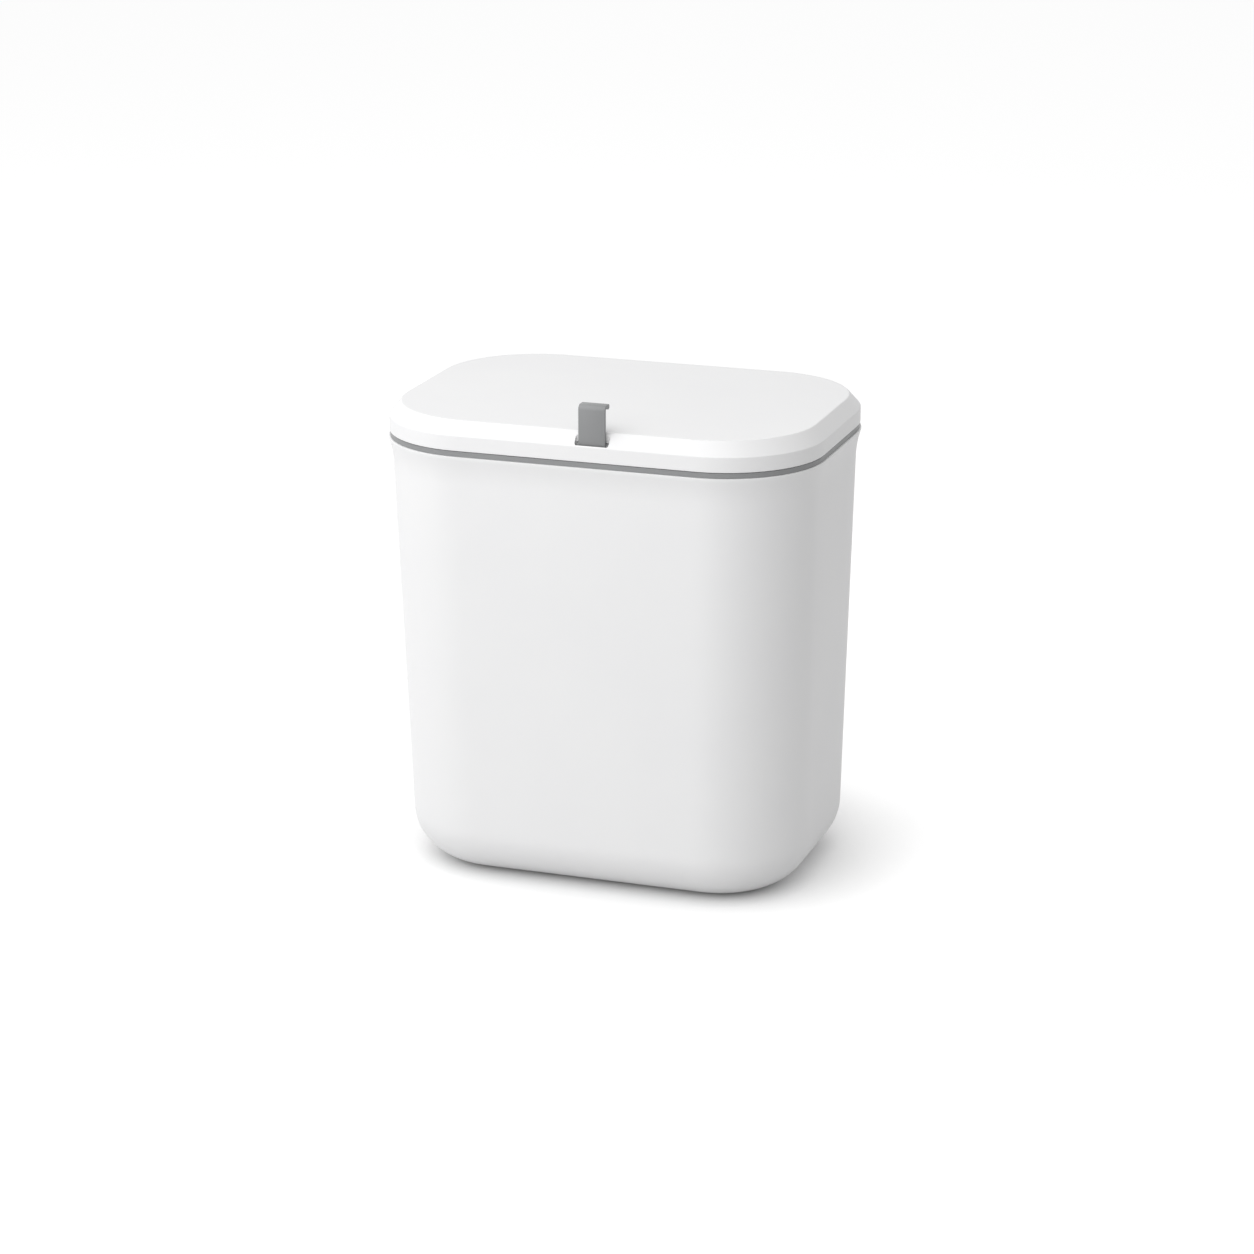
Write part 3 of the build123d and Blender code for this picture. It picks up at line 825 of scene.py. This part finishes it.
tab_width = 15.2 * mm
tab_thickness = 2.0 * mm
tab_front = lid_front + 1.35 * mm
liner_top = 258.3 * mm
slot_front = tab_front - 0.9 * mm
slot_back = tab_front + tab_thickness + 0.95 * mm
slot_half = tab_width / 2 + 2.15 * mm
slot_corner = 1.2 * mm
slot_cut_height = 12 * mm
hub_half = tab_width / 2 + 1.9 * mm
ear_gap = 0.4 * mm
ear_width = 3.0 * mm
ear_front = lid_front + 1.2 * mm
ear_back = lid_front + 7.2 * mm
ear_foot = liner_top + 0.3 * mm
knuckle_root = middle_y + lid_depth / 2 - 1.1 * mm
knuckle_edge = 0.3 * mm
knuckle_wrap = 37
bore_half = 10 * mm
pin_fit = 0.06 * mm
slot_cut = slab("slot_cut", slot_half, (slot_back - slot_front) / 2, slot_corner, 0, slot_cut_height, 0)
slot_cut.data.transform(Matrix.Translation((tab_x, (slot_front + slot_back) / 2, liner_top)))
combine(lid_cover, slot_cut, "DIFFERENCE")
for side in (-1, 1):
    near = tab_x + side * (hub_half + ear_gap)
    far = near + side * ear_width
    ear = [
        (ear_front, ear_foot),
        (ear_back, ear_foot),
        (ear_back, top_z - 1.2 * mm),
        (ear_front, crease_z - 0.5 * mm),
    ]
    combine(lid_cover, bar("ear", ear, min(near, far), max(near, far)), "UNION")
for x in (-hinge_x, hinge_x):
    knuckle = [(knuckle_root, crease_z - 0.3 * mm), (knuckle_root, hinge_z - knuckle_radius)]
    knuckle += arc(hinge_y, hinge_z, knuckle_radius, -90, 90 + knuckle_wrap, 16)
    combine(lid_cover, bar("knuckle", knuckle, x - knuckle_half, x + knuckle_half, knuckle_edge), "UNION")
    bore = turned("bore", [(pin_radius + pin_fit, -bore_half), (pin_radius + pin_fit, bore_half)])
    bore.data.transform(Matrix.Translation((x, hinge_y, hinge_z)) @ Matrix.Rotation(math.pi / 2, 4, "Y"))
    combine(lid_cover, bore, "DIFFERENCE")
coat(lid_cover, white_plastic)
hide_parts("lid_cover")
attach(lid_cover, "lid")

# Lid liner
# The white panel that closes the lid from below, with a groove near its edge for the seal, a field
# sunk into its middle, and a window for the lock tab's arm. Six screws hold it.
liner_z = 256.5 * mm
liner_inset = lid_wall + 0.5 * mm
seal_outer = liner_inset + 1.4 * mm
seal_inner = seal_outer + 3.0 * mm
groove_z = liner_z + 0.8 * mm
field_inset = 40.0 * mm
field_step = 0.6 * mm
field_z = liner_z + field_step
liner_middle = 70 * mm
liner_least_corner = 4 * mm
liner_edge = 0.3 * mm
window_half = 6.6 * mm
window_front = lid_front + 13.4 * mm
window_back = lid_front + 18.35 * mm
liner_line = [
    (liner_middle, liner_top),
    (liner_inset, liner_top),
    (liner_inset, liner_z),
    (seal_outer, liner_z),
    (seal_outer, groove_z),
    (seal_inner, groove_z),
    (seal_inner, liner_z),
    (field_inset, liner_z),
    (field_inset + field_step, field_z),
    (liner_middle, field_z),
]
liner_line = [(inset, z, max(lid_corner - inset, liner_least_corner)) for inset, z in liner_line]
liner_edges = [0] + [liner_edge] * 8 + [0]
liner = shell("liner_panel", [lid_loop(point) for point in rounded_line(liner_line, liner_edges)])
low = (tab_x - window_half, window_front, liner_z - overlap)
window = block("window", low, (tab_x + window_half, window_back, liner_top + overlap))
combine(liner, window, "DIFFERENCE")
coat(liner, white_plastic)
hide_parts("lid_liner")
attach(liner, "lid")

screw_inset = 27.5 * mm
screw_x = lid_width / 2 - screw_inset
screw_y = lid_depth / 2 - screw_inset
screw_bite = 8 * mm
liner_places = []
for x in (-screw_x, 0, screw_x):
    for y in (middle_y - screw_y, middle_y + screw_y):
        liner_places.append(Matrix.Translation((x, y, liner_z - seat_gap)))
liner_screws = screws("liner_screw_set", liner_top - liner_z + screw_bite, liner_places)
coat(liner_screws, zinc)
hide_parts("liner_screws")
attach(liner_screws, "lid")

# Lid seal
# A soft grey silicone cord with a square back, pressed into the liner's groove, that rests on the bag
# ring and keeps smells in.
seal_slant = 0.9 * mm
seal_back_edge = 0.2 * mm
seal_edge = 0.4 * mm
seal_line = [
    (seal_outer + seat_gap, groove_z),
    (seal_outer + seat_gap, ring_high + seal_slant),
    (seal_outer + seal_slant, ring_high),
    (seal_inner - seal_slant, ring_high),
    (seal_inner - seat_gap, ring_high + seal_slant),
    (seal_inner - seat_gap, groove_z),
]
seal_edges = [seal_back_edge] + [seal_edge] * 4 + [seal_back_edge]
seal_line = [(inset, z, lid_corner - inset) for inset, z in seal_line]
seal = shell("seal_cord", [lid_loop(point) for point in rounded_line(seal_line, seal_edges)], closed=True)

# Soft silicone: a dull sheen with a faint haze in its colour and gloss, 5 mm wide.
haze_width = 5 * mm
silicone, tree = new_material("soft grey silicone")
place = add_node(tree, "ShaderNodeTexCoord").outputs["Object"]
haze = add_node(tree, "ShaderNodeTexNoise", {"Vector": place, "Scale": 1 / haze_width, "Detail": 3.0})
tone = add_node(
    tree,
    "ShaderNodeMix",
    {0: haze.outputs[0], 6: linear("7E7F81"), 7: linear("868789")},
    data_type="RGBA",
)
soft = add_node(tree, "ShaderNodeMapRange", {"Value": haze.outputs[0], "To Min": 0.5, "To Max": 0.62})
skin = add_node(
    tree,
    "ShaderNodeBsdfPrincipled",
    {"Base Color": tone.outputs[2], "Roughness": soft.outputs[0], "IOR": 1.41},
)
add_node(tree, "ShaderNodeOutputMaterial", {"Surface": skin.outputs[0]})
coat(seal, silicone)
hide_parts("lid_seal")
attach(seal, "lid")

# Lock tab
# A grey lever in one moulding: a flat blade whose top curls back into a bead for the fingertip, a hub
# on a steel pin, and an arm below whose nose goes under the keeper's lip when the tab is tipped back.
tab_top = top_z + 15.2 * mm
tab_edge = 0.3 * mm
bend = 2.8 * mm
bead = 1.5 * mm
tab_reach = 8.0 * mm
pivot_y = lid_front + 4.45 * mm
pivot_z = crease_z - 0.3 * mm
lip_end = tab_front + tab_reach - bead
under = math.degrees(math.asin((tab_thickness - bead) / bead))
hook = [(tab_front, pivot_z)]
hook += arc(tab_front + bend, tab_top - bend, bend, 180, 90, 8)
hook += arc(lip_end, tab_top - bead, bead, 90, -180 + under, 14)
hook += arc(tab_front + bend, tab_top - bend, bend - tab_thickness, 90, 180, 5)
hook += [(tab_front + tab_thickness, pivot_z)]
lock_tab = bar("tab", hook, tab_x - tab_width / 2, tab_x + tab_width / 2, tab_edge)

lever_front = tab_front + 0.3 * mm
arm_front = lid_front + 15.4 * mm
arm_back = arm_front + tab_thickness
nose_z = pivot_z - 20.4 * mm
nose_y = arm_front - 2.0 * mm
nose_height = 3.6 * mm
arm_half = 6 * mm
arm_edge = 0.25 * mm
lever = [
    (lever_front, pivot_z - tab_thickness / 2),
    (lever_front, pivot_z + tab_thickness / 2),
    (arm_back, pivot_z + tab_thickness / 2),
    (arm_back, nose_z),
    (arm_front, nose_z),
    (nose_y, nose_z + nose_height / 2),
    (nose_y, nose_z + nose_height),
    (arm_front, nose_z + nose_height),
    (arm_front, pivot_z - tab_thickness / 2),
]
combine(lock_tab, bar("lever", lever, tab_x - arm_half, tab_x + arm_half, arm_edge), "UNION")

tab_pin_radius = 1.0 * mm
hub_radius = 2.1 * mm
hub_edge = 0.3 * mm
along_x = Matrix.Translation((tab_x, pivot_y, pivot_z)) @ Matrix.Rotation(math.pi / 2, 4, "Y")
hub_line = [
    (hub_radius - hub_edge, -hub_half),
    (hub_radius, hub_edge - hub_half),
    (hub_radius, hub_half - hub_edge),
    (hub_radius - hub_edge, hub_half),
]
hub = turned("hub", hub_line)
hub.data.transform(along_x)
combine(lock_tab, hub, "UNION")
bore_radius = tab_pin_radius + pin_fit
bore = turned("bore", [(bore_radius, -hub_half - overlap), (bore_radius, hub_half + overlap)])
bore.data.transform(along_x)
combine(lock_tab, bore, "DIFFERENCE")
coat(lock_tab, grey_plastic)
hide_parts("lock_tab")
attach(lock_tab, "tab")

# Tab pin
# A plain pin cut from bright steel bar, with turned ends, that the lock tab tips on. It is pressed into
# the two ears under the lid.
tab_pin_half = hub_half + 3.0 * mm
tab_pin_edge = 0.2 * mm
pin_line = [
    (tab_pin_radius - tab_pin_edge, -tab_pin_half),
    (tab_pin_radius, tab_pin_edge - tab_pin_half),
    (tab_pin_radius, tab_pin_half - tab_pin_edge),
    (tab_pin_radius - tab_pin_edge, tab_pin_half),
]
tab_pin = turned("tab_pin_turned", pin_line)
tab_pin.data.transform(along_x)
coat(tab_pin, bright_steel)
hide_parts("tab_pin")
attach(tab_pin, "lid")

# Wall bracket
# A white polypropylene plate with four countersunk screw holes. Two upright tongues stand in front of
# it on short webs, and the hanger's sockets drop over them.
plate_z = (tongue_low.z + tongue_high.z) / 2
plate_back = tongue_high.y
plate_thickness = 3.0 * mm
plate_front = plate_back - plate_thickness
plate_half = 58 * mm
plate_half_height = 33 * mm
plate_corner = 8 * mm
plate_edge = 0.5 * mm
web_low = socket_low - 6 * mm
web_back = plate_front + 0.5 * mm
tongue_tip = 1 * mm
tongue_end = socket_low + tongue_reach
tongue_edge = 0.3 * mm
hole_x = 48 * mm
hole_rise = 22 * mm
hole_radius = 2.2 * mm
hole_head_radius = 4.2 * mm
hole_cut = 5 * mm
plate = slab("wall_plate", plate_half, plate_half_height, plate_corner, 0, plate_thickness, plate_edge)
plate.data.transform(Matrix.Translation((0, plate_back, plate_z)) @ Matrix.Rotation(math.pi / 2, 4, "X"))
for side in (-1, 1):
    x = side * tongue_x
    tongue = [
        (tongue_front, web_low),
        (web_back, web_low),
        (web_back, socket_low),
        (tongue_back, socket_low),
        (tongue_back, tongue_end - tongue_tip),
        (tongue_back - tongue_tip, tongue_end),
        (tongue_front + tongue_tip, tongue_end),
        (tongue_front, tongue_end - tongue_tip),
    ]
    combine(plate, bar("tongue", tongue, x - tongue_half, x + tongue_half, tongue_edge), "UNION")
    for level in (-1, 1):
        line = [(hole_radius, -hole_cut), (hole_radius, 1.5 * mm), (hole_head_radius, 3.5 * mm)]
        hole = turned("hole", line)
        base = Matrix.Translation((side * hole_x, plate_back, plate_z + level * hole_rise))
        hole.data.transform(base @ Matrix.Rotation(math.pi / 2, 4, "X"))
        combine(plate, hole, "DIFFERENCE")
coat(plate, white_plastic)
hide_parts("wall_bracket")
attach(plate, "bracket")

# Mounting pads
# Two strips of white foam tape on the back of the plate, die cut with round corners, for tiles that
# mustn't be drilled.
pad_half = 17 * mm
pad_half_height = 28 * mm
pad_corner = 4 * mm
pad_thickness = 1.2 * mm
pad_edge = 0.15 * mm
pad_x = 22 * mm

# Closed cell foam: dull, with small cells that stand proud, and painted shade that darkens the hollows
# between them. The cells of 0.2 mm are drawn at 0.5 mm.
cell_size = 0.5 * mm
foam, tree = new_material("closed cell foam tape")
place = add_node(tree, "ShaderNodeTexCoord").outputs["Object"]
cells_and_hollow_shade = add_node(tree, "ShaderNodeTexVoronoi", {"Vector": place, "Scale": 1 / cell_size})
# The tone darkens away from each cell's middle: painted shade in the hollows between cells.
tone = add_node(
    tree,
    "ShaderNodeMix",
    {0: cells_and_hollow_shade.outputs[0], 6: linear("E9E9E6"), 7: linear("D6D6D2")},
    data_type="RGBA",
)
pits = add_node(
    tree,
    "ShaderNodeBump",
    {"Height": cells_and_hollow_shade.outputs[0], "Strength": 0.5, "Distance": 0.1 * mm},
    invert=True,
)
skin = add_node(
    tree,
    "ShaderNodeBsdfPrincipled",
    {"Base Color": tone.outputs[2], "Roughness": 0.85, "Normal": pits.outputs[0]},
)
add_node(tree, "ShaderNodeOutputMaterial", {"Surface": skin.outputs[0]})
for name, side in (("left", -1), ("right", 1)):
    pad = slab("tape_" + name, pad_half, pad_half_height, pad_corner, 0, pad_thickness, pad_edge)
    base = Matrix.Translation((side * pad_x, wall_y, plate_z))
    pad.data.transform(base @ Matrix.Rotation(math.pi / 2, 4, "X"))
    coat(pad, foam)
    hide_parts("mounting_pad_" + name)
    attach(pad, "bracket")
